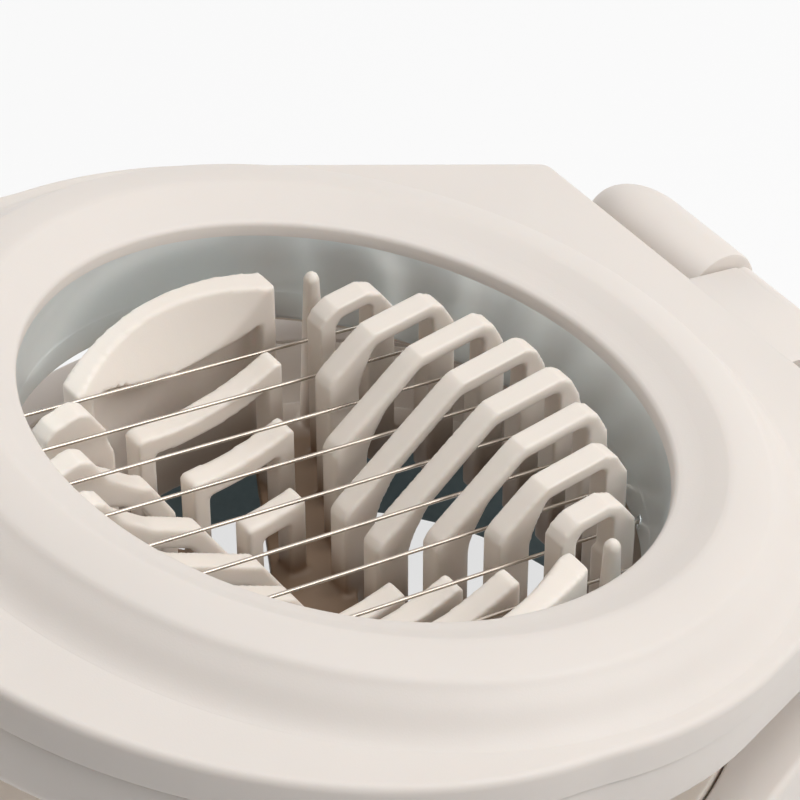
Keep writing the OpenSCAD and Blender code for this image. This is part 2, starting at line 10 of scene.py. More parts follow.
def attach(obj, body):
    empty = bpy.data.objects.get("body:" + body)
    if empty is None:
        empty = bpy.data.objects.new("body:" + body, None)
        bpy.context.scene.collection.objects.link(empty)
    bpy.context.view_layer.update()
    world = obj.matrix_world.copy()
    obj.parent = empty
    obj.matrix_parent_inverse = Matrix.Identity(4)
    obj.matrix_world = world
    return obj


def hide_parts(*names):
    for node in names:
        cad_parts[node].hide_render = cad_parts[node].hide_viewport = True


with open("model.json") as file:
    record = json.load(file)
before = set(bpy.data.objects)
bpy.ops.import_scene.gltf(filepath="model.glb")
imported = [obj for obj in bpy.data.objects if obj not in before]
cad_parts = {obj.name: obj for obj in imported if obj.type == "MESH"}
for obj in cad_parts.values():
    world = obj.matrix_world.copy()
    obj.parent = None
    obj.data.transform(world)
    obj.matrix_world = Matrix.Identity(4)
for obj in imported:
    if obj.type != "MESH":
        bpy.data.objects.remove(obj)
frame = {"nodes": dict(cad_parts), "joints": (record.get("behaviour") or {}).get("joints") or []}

bl_info = {
    "name": "Wire egg slicer",
    "version": (1, 0, 0),
    "blender": (4, 5, 0),
    "location": "3D View > Sidebar > Slicer",
    "description": "Shells, egg bed, steel ring, wires and studio of a wire egg slicer",
    "category": "Object",
}

MM = 0.001
HINGE_REACH = 60 * MM      # from the bed's centre back to the hinge line
RIB_SLOPE = 0.68           # fall of the hinge-side ribs' bars towards the middle
CHANNEL_ANGLE = math.radians(30)
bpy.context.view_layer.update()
JOINT = frame["joints"][0]
HINGE = Vector(JOINT["pos_m"])
OPEN_ANGLE = -math.radians(JOINT["range_deg"][0])
WIRES = sorted(name for name in frame["nodes"] if name.startswith("wire_") and name[5:].isdigit())


# ---------- sizes and colours ----------

def length(name, description, millimetres):
    """A size in the sidebar, given in millimetres."""
    return FloatProperty(name=name, description=description, default=millimetres * MM, unit="LENGTH")


def colour(name, description, value):
    """A colour in the sidebar."""
    return FloatVectorProperty(name=name, description=description, subtype="COLOR", default=value,
                               min=0, max=1)


class FrameSizes(bpy.types.PropertyGroup):
    lip_r: length("Lip radius", "Radius of the opening at its lip", 33)
    lip_z: length("Lip height", "Height of the lip with the frame shut", 34)
    crest_r: length("Crest radius", "Radius of the ring's highest line", 37.3)
    crest_rise: length("Crest rise", "Height of that line above the lip", 1.9)
    band_r: length("Band radius", "Radius where the crest turns into the outer slope", 41.6)
    foot_r: length("Foot radius", "Radius where the slope meets the flat top", 46.4)
    flat_drop: length("Flat top depth", "Depth of the flat top below the lip", 3.1)
    seam_drop: length("Seam depth", "Depth of the shells' seam below the flat top", 4)
    thick: length("Frame thickness", "Height of the frame's edge", 10.1)
    round_r: length("Outline radius", "Radius of the frame's outline", 48.25)
    front_r: length("Front radius", "Radius of the frame's front", 47.7)
    front_shift: length("Front shift", "How far the front's centre lies forward", 7.5)
    corner_x: length("Hinge corner, across", "Half width of the hinge edge", 32.4)
    corner_y: length("Hinge corner, along", "Distance of the hinge edge", 54.05)
    edge: length("Edge rounding", "Radius of the shells' outer edges", 0.9)
    tab_w: length("Tab width", "Width of the lifting tab", 33.6)
    tab_reach: length("Tab reach", "Reach of the tab beyond the front", 10.9)
    ridges: IntProperty(name="Grip ridges", description="Number of grip ridges on the tab", default=4)
    ridge_gap: length("Ridge pitch", "Distance between two grip ridges", 2.2)


class RingSizes(bpy.types.PropertyGroup):
    inner_r: length("Wall radius", "Radius of the steel wall at its top", 32)
    step_r: length("Lower radius", "Radius of the steel wall below its step", 31.4)
    step_z: length("Step height", "Height of the pressed step", 25.9)
    low_z: length("Lower edge", "Height of the ring's lower edge", 22.6)
    wire_z: length("Wire height", "Height of the wires with the frame shut", 23.7)
    wire_pitch: length("Wire pitch", "Distance between two wires", 5.5)
    wire_r: length("Wire radius", "Radius of a cutting wire", 0.2)
    dimple_r: length("Dimple radius", "Radius of the pressed rim round a wire hole", 0.62)


class BaseSizes(bpy.types.PropertyGroup):
    rim_z: length("Rim height", "Height of the base's rim", 20.3)
    margin: length("Margin", "How far the base stands out beyond the frame", 0.7)
    wall: length("Wall", "Thickness of the base's wall", 2.2)
    foot_gap: length("Foot gap", "Gap between the base's wall and the table", 0.8)
    seat_r: length("Seat radius", "Radius of the recess that holds the egg bed", 43.3)
    hole_r: length("Deck opening", "Radius of the deck's opening", 34.6)
    low_r: length("Liner radius", "Inner radius of the liner at the table", 36.9)
    knuckle_r: length("Knuckle radius", "Radius of the hinge knuckles", 5.4)
    knuckle_x: length("Knuckle reach", "Half reach of the knuckles' round part", 20)
    dome: length("Dome length", "Length of the knuckles' domed ends", 8.6)


class ScrewSizes(bpy.types.PropertyGroup):
    head_r: length("Head radius", "Radius of the screw heads", 2)
    frame_r: length("Frame screws", "Radius of the circle of the frame's screws", 40.9)
    bed_r: length("Bed screws", "Radius of the circle of the bed's screws", 40.4)


class BedSizes(bpy.types.PropertyGroup):
    pitch: length("Rib pitch", "Distance between two ribs", 5.5)
    rib_t: length("Rib thickness", "Thickness of a rib", 2.6)
    rib_z: length("Rib height", "Height of the hinge-side ribs", 42.3)
    hollow_a: length("Hollow half length", "Half length of the egg's hollow", 26.5)
    hollow_b: length("Hollow half width", "Half width of the egg's hollow", 18.8)
    bar_t: length("Bar thickness", "Thickness of the hinge-side ribs' upper bars", 1.5)
    web: length("Web width", "Width of the webbed inner legs", 4)
    web_start: length("Inner leg", "Distance of the middle inner legs from the hollow's axis", 2.6)
    hood_x: length("Hood face", "Distance of the hoods' faces from the middle", 23.45)
    hood_z: length("Hood edge", "Height of the lowest point of a hood's lip", 37.8)
    voxel: length("Skin detail", "Size of the detail kept when edges are rounded", 0.3)
    # painted shade: below this height, between the ribs, the bed's colour is painted browner
    painted_shade_z: length("Deep height", "Height below which the bed looks darkest", 20.6)


class Finish(bpy.types.PropertyGroup):
    shell: colour("Shell", "Colour of the shells", (0.73, 0.672, 0.622))
    bed: colour("Egg bed", "Colour of the egg bed", (0.82, 0.745, 0.67))
    steel: colour("Steel", "Colour of the steel", (0.70, 0.755, 0.775))
    wire: colour("Wire", "Colour of the drawn wires", (0.58, 0.51, 0.44))
    liner: colour("Liner", "Colour of the rubber liner", (0.13, 0.20, 0.22))


class StageSizes(bpy.types.PropertyGroup):
    lens: FloatProperty(name="Lens", description="Focal length of the camera in millimetres", default=157.5)
    shown_white: FloatProperty(name="Backdrop", description="How bright the camera sees the backdrop",
                               default=0.97)


# ---------- mesh helpers ----------

def settled():
    """Matrix from the bed's centre to the slicer's own origin."""
    return Matrix.Translation((0.0, HINGE.y - HINGE_REACH, 0.0))


def raised():
    """Matrix from the shut frame, drawn round the opening's centre, to its place at rest."""
    centre = Vector((0.0, HINGE.y - HINGE_REACH, 0.0))
    turn = Matrix.Rotation(-OPEN_ANGLE, 4, "X")
    return Matrix.Translation(HINGE) @ turn @ Matrix.Translation(centre - HINGE)


def cleaned(mesh):
    """Merges doubles and turns the faces outwards."""
    work = bmesh.new()
    work.from_mesh(mesh)
    bmesh.ops.remove_doubles(work, verts=work.verts, dist=1e-7)
    bmesh.ops.recalc_face_normals(work, faces=work.faces)
    work.to_mesh(mesh)
    work.free()


def new_object(name, data):
    """An object in the scene's own collection."""
    made = bpy.data.objects.new(name, data)
    bpy.context.scene.collection.objects.link(made)
    return made


def evaluated(piece):
    """A piece's mesh with its modifiers applied."""
    graph = bpy.context.evaluated_depsgraph_get()
    return bpy.data.meshes.new_from_object(piece.evaluated_get(graph))


def plain_object(name, verts, faces):
    """A cleaned mesh object without a material."""
    mesh = bpy.data.meshes.new(name)
    mesh.from_pydata(verts, [], faces)
    mesh.validate()
    cleaned(mesh)
    return new_object(name, mesh)


def shaded(piece, material, sharp):
    """Gives a piece its material and smooth shading up to an angle in degrees."""
    piece.data.shade_smooth()
    piece.data.set_sharp_from_angle(angle=math.radians(sharp))
    piece.data.materials.clear()
    piece.data.materials.append(material)


def add_piece(name, form, matrix, material, body, node_names=(), sharp=38):
    """A finished mesh piece in the row frame, shaded smooth up to an angle in degrees."""
    verts, faces = form
    piece = plain_object(name, [matrix @ Vector(v) for v in verts], faces)
    shaded(piece, material, sharp)
    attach(piece, body)
    if node_names:
        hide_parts(*node_names)
    return piece


def from_corner(r, z, *offsets):
    """(radius, height) points at offsets in millimetres from one corner."""
    return [(r + out * MM, z + up * MM) for out, up in offsets]


def arc_points(r, z, radius, start, end, steps):
    """Points of an arc round (r, z) between two angles in degrees."""
    angles = [math.radians(start + (end - start) * k / steps) for k in range(steps + 1)]
    return [(r + radius * math.cos(a), z + radius * math.sin(a)) for a in angles]


def smooth_curve(points, steps=6):
    """Catmull-Rom points through a list of (radius, height) knots."""
    curve = []
    for i in range(len(points) - 1):
        p = [Vector(points[max(i - 1, 0)]), Vector(points[i]), Vector(points[i + 1]),
             Vector(points[min(i + 2, len(points) - 1)])]
        for k in range(steps):
            t = k / steps
            curve.append(tuple(0.5 * (2 * p[1] + (p[2] - p[0]) * t
                                      + (2 * p[0] - 5 * p[1] + 4 * p[2] - p[3]) * t ** 2
                                      + (3 * p[1] - p[0] - 3 * p[2] + p[3]) * t ** 3)))
    curve.append(tuple(points[-1]))
    return curve


def rounded_path(corners, steps=6):
    """Closed path through (x, y, fillet radius) corners."""
    nearly_straight = math.radians(89.5)
    path = []
    count = len(corners)
    for i in range(count):
        here = Vector(corners[i][:2])
        radius = corners[i][2]
        back = (Vector(corners[i - 1][:2]) - here).normalized()
        ahead = (Vector(corners[(i + 1) % count][:2]) - here).normalized()
        half = back.angle(ahead) / 2 if radius else 0
        if not radius or half > nearly_straight:
            path.append(here)
            continue
        middle = here + (back + ahead).normalized() * (radius / math.sin(half))
        start = here + back * (radius / math.tan(half)) - middle
        end = here + ahead * (radius / math.tan(half)) - middle
        turn = math.atan2(start.x * end.y - start.y * end.x, start.dot(end))
        for k in range(steps + 1):
            a = turn * k / steps
            path.append(middle + Vector((start.x * math.cos(a) - start.y * math.sin(a),
                                         start.x * math.sin(a) + start.y * math.cos(a))))
    return path


def resampled(path, longest):
    """Adds points so that no stretch of a closed path is longer than the given length."""
    dense = []
    for i, here in enumerate(path):
        there = path[(i + 1) % len(path)]
        parts = max(1, math.ceil((there - here).length / longest))
        dense += [here.lerp(there, k / parts) for k in range(parts)]
    return dense


def path_normals(path):
    """Outward normals of a closed anticlockwise path."""
    normals = []
    for i in range(len(path)):
        run = (path[(i + 1) % len(path)] - path[i]).normalized() + (path[i] - path[i - 1]).normalized()
        normals.append(Vector((run.y, -run.x)).normalized())
    return normals


def round_loops(path, points):
    """A loop on a circle for each (radius, height), in the directions of the path's points."""
    return [[(r * p.x / p.length, r * p.y / p.length, z) for p in path] for r, z in points]


def side_loops(path, points):
    """A loop that follows the path for each (inset, height)."""
    normals = path_normals(path)
    return [[(p.x - n.x * inset, p.y - n.y * inset, z) for p, n in zip(path, normals)]
            for inset, z in points]


def joined_loops(loops):
    """Vertices and faces of a closed sleeve through a list of loops, the last joined to the first."""
    verts = [v for loop in loops for v in loop]
    size = len(loops[0])
    faces = []
    for i in range(len(loops)):
        a = i * size
        b = ((i + 1) % len(loops)) * size
        faces += [(a + k, a + (k + 1) % size, b + (k + 1) % size, b + k) for k in range(size)]
    return verts, faces


def capped_loops(loops):
    """Vertices and faces of a closed form through a list of loops, with a cap at each end."""
    size = len(loops[0])
    verts, faces = joined_loops(loops)
    last = len(verts) - size
    return verts, faces[:-size] + [tuple(reversed(range(size))), tuple(range(last, last + size))]


def turned(profile, steps):
    """Vertices and faces of a closed profile of (radius, height) turned about Z."""
    count = len(profile)
    verts, faces = [], []
    for i in range(steps):
        turn = 2 * math.pi * i / steps
        verts += [(r * math.cos(turn), r * math.sin(turn), z) for r, z in profile]
        a = i * count
        b = ((i + 1) % steps) * count
        faces += [(a + k, b + k, b + (k + 1) % count, a + (k + 1) % count) for k in range(count)]
    return verts, faces


def prism_faces(count):
    """Faces of a closed form between two outlines of as many points."""
    ends = [tuple(range(count)), tuple(range(2 * count - 1, count - 1, -1))]
    return ends + [(k, count + k, count + (k + 1) % count, (k + 1) % count) for k in range(count)]


def prism(low, high, outline):
    """Closed form between two x values, with an outline of (y, z) round the bed's centre."""
    verts = [settled() @ Vector((x, y, z)) for x in (low, high) for y, z in outline]
    return verts, prism_faces(len(outline))


def slab(outline, low, high, edge):
    """Closed form of an outline in Y and Z given thickness along X, with chamfered rims."""
    centre = Vector((sum(p[0] for p in outline), sum(p[1] for p in outline))) / len(outline)
    inner = []
    for y, z in outline:
        away = Vector((y, z)) - centre
        inner.append(centre + away * (1 - edge / max(away.length, 1e-6)))
    rings = [(inner, low), (outline, low + edge), (outline, high - edge), (inner, high)]
    return capped_loops([[(x, y, z) for y, z in ring] for ring, x in rings])


def cut_away(piece, form):
    """Takes a closed form out of a piece."""
    tool = plain_object("cutting_form", *form)
    cut = piece.modifiers.new("cut", "BOOLEAN")
    cut.operation = "DIFFERENCE"
    cut.solver = "EXACT"
    cut.object = tool
    mesh = evaluated(piece)
    piece.modifiers.remove(cut)
    piece.data = mesh
    bpy.data.objects.remove(tool)


def moulded(piece, voxel, rounds, share, extras):
    """Joins the extra forms to a piece and rounds its edges softly, as moulded plastic has."""
    work = bmesh.new()
    work.from_mesh(piece.data)
    for verts, faces in extras:
        made = [work.verts.new(v) for v in verts]
        for face in faces:
            work.faces.new([made[i] for i in face])
    work.to_mesh(piece.data)
    work.free()
    cleaned(piece.data)
    remesh = piece.modifiers.new("skin", "REMESH")
    remesh.mode = "VOXEL"
    remesh.voxel_size = voxel
    soften = piece.modifiers.new("soften", "SMOOTH")
    soften.factor = 0.5
    soften.iterations = rounds
    thin = piece.modifiers.new("thin", "DECIMATE")
    thin.ratio = share
    mesh = evaluated(piece)
    piece.modifiers.clear()
    piece.data = mesh
    mesh.shade_smooth()


# ---------- node helpers ----------

def fill_inputs(tree, node, inputs):
    """Links a node's inputs where a socket is given, and sets the others to constants."""
    for key, value in inputs.items():
        if isinstance(value, bpy.types.NodeSocket):
            tree.links.new(value, node.inputs[key])
        else:
            node.inputs[key].default_value = value


def new_node(tree, kind, inputs, output=0, **settings):
    """Adds a node to a tree and returns one of its outputs."""
    node = tree.nodes.new(kind)
    for key, value in settings.items():
        setattr(node, key, value)
    fill_inputs(tree, node, inputs)
    return node.outputs[output]


class SizedTree:
    """Geometry Nodes tree whose sizes are named inputs."""

    def __init__(self, name):
        self.group = bpy.data.node_groups.new(name, "GeometryNodeTree")
        self.group.interface.new_socket(name="Geometry", in_out="OUTPUT", socket_type="NodeSocketGeometry")
        self.entry = self.group.nodes.new("NodeGroupInput")
        self.values = {}

    def size(self, name, value, kind="NodeSocketFloat"):
        """A named input with its value; returns the socket that carries it."""
        socket = self.group.interface.new_socket(name=name, in_out="INPUT", socket_type=kind)
        self.values[socket.identifier] = value
        return self.entry.outputs[name]

    def node(self, kind, inputs, output=0, **settings):
        return new_node(self.group, kind, inputs, output, **settings)

    def maths(self, operation, a, b=0.0):
        return self.node("ShaderNodeMath", {0: a, 1: b}, operation=operation)

    def times(self, a, b):
        return self.maths("MULTIPLY", a, b)

    def minus(self, a, b):
        return self.maths("SUBTRACT", a, b)

    def vector(self, **parts):
        return self.node("ShaderNodeCombineXYZ", parts)

    def row(self, count, start, step):
        """Points in a line from a start, with one step between two of them."""
        return self.node("GeometryNodeMeshLine", {"Count": count, "Start Location": start, "Offset": step},
                         mode="OFFSET")

    def bar(self, axis, length, points):
        """A line of so many points along one axis, through the origin."""
        start, end = (self.vector(**{axis: self.times(length, share)}) for share in (-0.5, 0.5))
        line = self.node("GeometryNodeCurvePrimitiveLine", {"Start": start, "End": end})
        return self.node("GeometryNodeResampleCurve", {"Curve": line, "Count": points})

    def swept(self, path, radius, facets, caps=False):
        """A round bar of the given radius along a curve."""
        rim = self.node("GeometryNodeCurvePrimitiveCircle", {"Resolution": facets, "Radius": radius})
        return self.node("GeometryNodeCurveToMesh", {"Curve": path, "Profile Curve": rim, "Fill Caps": caps})

    def copies(self, points, instance, **more):
        return self.node("GeometryNodeInstanceOnPoints", {"Points": points, "Instance": instance, **more})

    def joined(self, parts):
        join = self.group.nodes.new("GeometryNodeJoinGeometry")
        for part in parts:
            self.group.links.new(part, join.inputs[0])
        return join.outputs[0]

    def built(self, geometry, name, material, matrix):
        """Ends the tree and returns its result as a plain mesh object at the origin."""
        real = self.node("GeometryNodeRealizeInstances", {0: geometry})
        dressed = self.node("GeometryNodeSetMaterial", {"Geometry": real, "Material": material})
        leave = self.group.nodes.new("NodeGroupOutput")
        self.group.links.new(dressed, leave.inputs[0])
        piece = new_object(name, bpy.data.meshes.new(name))
        modifier = piece.modifiers.new(name, "NODES")
        modifier.node_group = self.group
        for identifier, value in self.values.items():
            modifier[identifier] = value
        mesh = evaluated(piece)
        piece.modifiers.remove(modifier)
        piece.data = mesh
        mesh.transform(matrix)
        cleaned(mesh)
        mesh.shade_smooth()
        mesh.set_sharp_from_angle(angle=math.radians(40))
        return piece


def wire_row(tree, sizes):
    """A point on the middle of each wire, and the height of the wires."""
    count = tree.size("Count", len(WIRES), "NodeSocketInt")
    pitch = tree.size("Pitch", sizes.wire_pitch)
    height = tree.size("Height", sizes.wire_z)
    first = tree.times(tree.minus(count, 1.0), tree.times(pitch, -0.5))
    return tree.row(count, tree.vector(X=first, Z=height), tree.vector(X=pitch)), height


def half_chord(tree, radius):
    """x of each point, and half the chord that a circle cuts from the line there."""
    x = tree.node("ShaderNodeSeparateXYZ", {0: tree.node("GeometryNodeInputPosition", {})})
    left = tree.minus(tree.times(radius, radius), tree.times(x, x))
    return x, tree.maths("SQRT", left)


def wire_end_points(tree, sizes, radius):
    """Points on both sides of a circle at which the wires meet it."""
    row, height = wire_row(tree, sizes)
    x, reach = half_chord(tree, radius)
    sides = []
    for side in (1.0, -1.0):
        there = tree.vector(X=x, Y=tree.times(reach, side), Z=height)
        sides.append(tree.node("GeometryNodeSetPosition", {"Geometry": row, "Position": there}))
    return tree.joined(sides)


# ---------- materials ----------

def new_material(name):
    """A material, its node tree and its main shader."""
    material = bpy.data.materials.new(name)
    material.use_nodes = True
    return material, material.node_tree, material.node_tree.nodes["Principled BSDF"]


def noise(tree, scale, detail, squeeze=(1, 1, 1)):
    """Noise on object coordinates."""
    coords = new_node(tree, "ShaderNodeTexCoord", {}, "Object")
    place = new_node(tree, "ShaderNodeMapping", {"Vector": coords, "Scale": squeeze})
    return new_node(tree, "ShaderNodeTexNoise", {"Vector": place, "Scale": scale, "Detail": detail}, "Fac")


def blended(tree, factor, low, high):
    """Colour ramp from one colour to another."""
    ramp = tree.nodes.new("ShaderNodeValToRGB")
    for element, position, colour in zip(ramp.color_ramp.elements, (0.35, 0.65), (low, high)):
        element.position = position
        element.color = (*colour, 1)
    tree.links.new(factor, ramp.inputs["Fac"])
    return ramp.outputs["Color"]


def ranged(tree, factor, low, high):
    """Number ramp from 0..1 to low..high."""
    return new_node(tree, "ShaderNodeMapRange", {"Value": factor, "To Min": low, "To Max": high})


def bumped(tree, height, depth, strength):
    """Normal of a surface with a relief of the given depth."""
    return new_node(tree, "ShaderNodeBump", {"Height": height, "Distance": depth, "Strength": strength})


def scaled(colour, amount):
    return tuple(c * amount for c in colour)


def surface(name, colour, shares, clouds, marks, rough, grain=None, relief=(), more=None):
    """A finish with clouds in its colour, marks in its roughness and, where given, a fine grain."""
    material, tree, shader = new_material(name)
    low, high = (scaled(colour, share) for share in shares)
    fill_inputs(tree, shader, {"Base Color": blended(tree, noise(tree, *clouds), low, high),
                               "Roughness": ranged(tree, noise(tree, *marks), *rough), **(more or {})})
    if grain:
        fill_inputs(tree, shader, {"Normal": bumped(tree, noise(tree, *grain), *relief)})
    return material


def plastic(name, colour, rough, glow):
    """Moulded plastic: faint flow clouds in its colour, fine grain, light that enters a little."""
    return surface(name, colour, (0.965, 1), (28, 3), (190, 4), rough, (5200, 2), (0.02 * MM, 0.35), {
        "Specular IOR Level": 0.45,
        "Subsurface Weight": glow,
        "Subsurface Radius": (0.0022, 0.0014, 0.0009),
        "Subsurface Scale": 1.0})


def paint_channel_shade(material):
    """Paints shade into the colour: browner down between the ribs, where hardly any light gets in."""
    tree = material.node_tree
    shader = tree.nodes["Principled BSDF"]
    light_z = 29 * MM
    inner_r, outer_r = 26 * MM, 31 * MM
    # painted shade colour, multiplied into the bed's colour low down between the ribs
    painted_shade_brown = (0.34, 0.25, 0.18, 1)
    coords = new_node(tree, "ShaderNodeTexCoord", {}, "Object")
    x, y, z = (new_node(tree, "ShaderNodeSeparateXYZ", {0: coords}, axis) for axis in "XYZ")
    depth = new_node(tree, "ShaderNodeMapRange", {
        "Value": z, "From Min": bpy.context.scene.slicer_bed.painted_shade_z, "From Max": light_z,
        "To Min": 1.0, "To Max": 0.0}, interpolation_type="SMOOTHSTEP")
    flat = new_node(tree, "ShaderNodeCombineXYZ", {"X": x, "Y": y})
    reach = new_node(tree, "ShaderNodeVectorMath", {0: flat}, "Value", operation="LENGTH")
    inside = new_node(tree, "ShaderNodeMapRange", {
        "Value": reach, "From Min": inner_r, "From Max": outer_r, "To Min": 1.0, "To Max": 0.15})
    # how much painted shade: most at the bottom and inside the ribs' circle
    amount = new_node(tree, "ShaderNodeMath", {0: depth, 1: inside}, operation="MULTIPLY")
    plain = shader.inputs["Base Color"].links[0].from_socket
    factor, first, second, result = 0, 6, 7, 2      # sockets of a colour mix
    mixed = new_node(tree, "ShaderNodeMix", {factor: amount, first: plain, second: painted_shade_brown}, result,
                     data_type="RGBA", blend_type="MULTIPLY")
    fill_inputs(tree, shader, {"Base Color": mixed})
    return material


def turned_steel(name, colour, rough):
    """Satin stainless steel with fine marks that run round the ring."""
    lines = (900, 3, (0.06, 0.06, 1.0))
    return surface(name, colour, (0.93, 1), (60, 3), lines, rough, lines, (0.02 * MM, 0.25),
                   {"Metallic": 0.85})


def drawn_steel(name, colour, rough):
    """Bright drawn wire with faint marks along it."""
    marks = (700, 2, (1.0, 0.05, 1.0))
    return surface(name, colour, (0.8, 1), marks, marks, rough, more={"Metallic": 1.0})


def rubber(name, colour, rough):
    """Matt non-slip rubber with a fine pebbled skin."""
    pebbles = (1400, 3)
    return surface(name, colour, (0.8, 1.1), (40, 4), pebbles, rough, pebbles, (0.04 * MM, 0.5))


def finish(name):
    """The named finish, made once."""
    if name in bpy.data.materials:
        return bpy.data.materials[name]
    colours = bpy.context.scene.slicer_finish
    if name == "shell_plastic":
        return plastic(name, tuple(colours.shell), rough=(0.46, 0.56), glow=0.12)
    if name == "bed_plastic":
        # the bed's plastic, with painted shade low down between the ribs
        return paint_channel_shade(plastic(name, tuple(colours.bed), rough=(0.44, 0.54), glow=0.15))
    if name == "ring_steel":
        return turned_steel(name, tuple(colours.steel), rough=(0.32, 0.42))
    if name == "screw_steel":
        return turned_steel(name, tuple(colours.steel), rough=(0.25, 0.35))
    if name == "wire_steel":
        return drawn_steel(name, tuple(colours.wire), rough=(0.22, 0.36))
    return rubber(name, tuple(colours.liner), rough=(0.5, 0.75))


# ---------- the frame's forms ----------

def arc_to_corner(half, corner, radius):
    """Continues half an outline on a circle, up to where a straight line to the corner leaves it."""
    leave = math.atan2(corner.y, corner.x) - math.acos(radius / corner.length)
    last = Vector((radius * math.cos(leave), radius * math.sin(leave)))
    begin = math.atan2(half[-1][1], half[-1][0])
    end = math.atan2(last.y, last.x)
    steps = 10
    for k in range(1, steps + 1):
        turn = begin + (end - begin) * k / steps
        half.append((radius * math.cos(turn), radius * math.sin(turn), 0))


def mirrored_outline(half, longest):
    """Closed path through the (x, y, fillet radius) corners of a +X half and its mirror image."""
    full = half + [(-x, y, r) for x, y, r in reversed(half)]
    return resampled(rounded_path(full), longest)


def frame_outline(sizes, inset=0.0):
    """Closed anticlockwise outline of the cutting frame, seen from above."""
    front_r = sizes.front_r - inset
    round_r = sizes.round_r - inset
    tab = sizes.tab_w / 2 - inset
    front = -sizes.front_shift - sizes.front_r - sizes.tab_reach + inset
    root = -sizes.front_shift - math.sqrt(front_r ** 2 - tab ** 2)
    tip_round, root_round, corner_round = 6 * MM, 2 * MM, 1.6 * MM
    half = [(tab, front, tip_round), (tab, root, root_round)]
    meet = math.degrees(math.acos(min(1, (front_r ** 2 + sizes.front_shift ** 2 - round_r ** 2)
                                      / (2 * front_r * sizes.front_shift))))
    angle = math.degrees(math.asin(tab / front_r)) + 4
    while angle < 180 - meet - 1 and angle < 95:
        turn = math.radians(angle - 90)
        half.append((front_r * math.cos(turn), -sizes.front_shift + front_r * math.sin(turn), 0))
        angle += 2
    corner = Vector((sizes.corner_x - inset, sizes.corner_y - inset))
    arc_to_corner(half, corner, round_r)
    half.append((corner.x, corner.y, corner_round))
    return mirrored_outline(half, 1.2 * MM)


def top_profile(sizes):
    """(radius, height) points of the raised ring, from its seat over lip and crest to the flat top."""
    flat = sizes.lip_z - sizes.flat_drop
    top = sizes.lip_z + sizes.crest_rise
    lip = from_corner(sizes.lip_r, sizes.lip_z, (-1.0, -1.7), (-0.98, -0.6), (-0.85, -0.25), (-0.55, -0.05),
                      (0, 0.1))
    crest = from_corner(sizes.lip_r, sizes.lip_z, (1.6, 0.74))
    crest += from_corner(sizes.crest_r, top, (-1.0, -0.34), (-0.3, -0.06), (0.5, -0.02), (2.0, -0.24))
    crest += from_corner(sizes.band_r, top, (-0.7, -0.68), (0, -1.0), (0.7, -1.62))
    crest += from_corner(sizes.band_r, flat, (1.9, 2.35))
    crest += from_corner(sizes.foot_r, flat, (-1.6, 1.05), (-0.7, 0.36), (0, 0))
    return lip + smooth_curve(crest)


def edge_profile(flat, low, edge):
    """(inset, height) points over a rounded upper edge, down the side and in below."""
    turns = [math.pi / 2 * k / 5 for k in range(6)]
    arc = [(edge - edge * math.sin(a), flat - edge + edge * math.cos(a)) for a in turns]
    return arc + from_corner(0.0, low, (0, 0.15), (0.15, 0), (1.4, 0))


class SLICER_OT_frame_top(bpy.types.Operator):
    """Makes the frame's upper shell with its raised ring and tab"""
    bl_idname = "slicer.frame_top"
    bl_label = "Upper shell"

    def execute(self, context):
        sizes = context.scene.slicer_frame
        path = frame_outline(sizes)
        flat = sizes.lip_z - sizes.flat_drop
        low = flat - sizes.seam_drop
        loops = round_loops(path, top_profile(sizes))
        loops += side_loops(path, edge_profile(flat, low, sizes.edge))
        loops += round_loops(path, [(sizes.lip_r + 3 * MM, low)])
        loops += round_loops(path, from_corner(sizes.lip_r, sizes.lip_z, (0.2, -2.2)))
        piece = add_piece("upper_shell", joined_loops(loops), raised(), finish("shell_plastic"), "cutter",
                          ["frame_top"])
        return {"FINISHED"}


class SLICER_OT_frame_bottom(bpy.types.Operator):
    """Makes the frame's lower shell, a little smaller at the seam"""
    bl_idname = "slicer.frame_bottom"
    bl_label = "Lower shell"

    def execute(self, context):
        sizes = context.scene.slicer_frame
        path = frame_outline(sizes, 0.25 * MM)
        high = sizes.lip_z - sizes.flat_drop - sizes.seam_drop - 0.12 * MM
        low = sizes.lip_z - sizes.flat_drop - sizes.thick
        hole = sizes.lip_r + 0.4 * MM
        loops = round_loops(path, [(hole, low + 0.4 * MM), (hole, high)])
        loops += side_loops(path, from_corner(0.0, high, (0.5, 0), (0.1, -0.1), (0, -0.5)))
        loops += side_loops(path, from_corner(0.0, low, (0, 1.1), (0.15, 0.55), (0.55, 0.15), (1.1, 0)))
        loops += round_loops(path, [(hole + 0.4 * MM, low)])
        piece = add_piece("lower_shell", joined_loops(loops), raised(), finish("shell_plastic"), "cutter",
                          ["frame_bottom"])
        return {"FINISHED"}


class SLICER_OT_tongue(bpy.types.Operator):
    """Makes the hinge tongue of the cutting frame"""
    bl_idname = "slicer.tongue"
    bl_label = "Hinge tongue"

    def execute(self, context):
        sizes = context.scene.slicer_frame
        flat = sizes.lip_z - sizes.flat_drop
        half, barrel = 8.2 * MM, 4.9 * MM
        start = sizes.corner_y - 3 * MM
        pin = Vector((HINGE_REACH, HINGE.z))
        turns = [math.radians(10 * k) for k in range(1, 17)]
        outer = [(start, pin.y - barrel), (pin.x, pin.y - barrel)]
        outer += [(pin.x + barrel * math.sin(a), pin.y - barrel * math.cos(a)) for a in turns]
        outer += from_corner(pin.x, flat, (0.9, -0.35), (0.3, -0.05)) + [(start, flat - 0.02 * MM)]
        form = slab(outer, -half, half, 0.45 * MM)
        piece = add_piece("hinge_tongue", form, raised(), finish("shell_plastic"), "cutter")
        return {"FINISHED"}


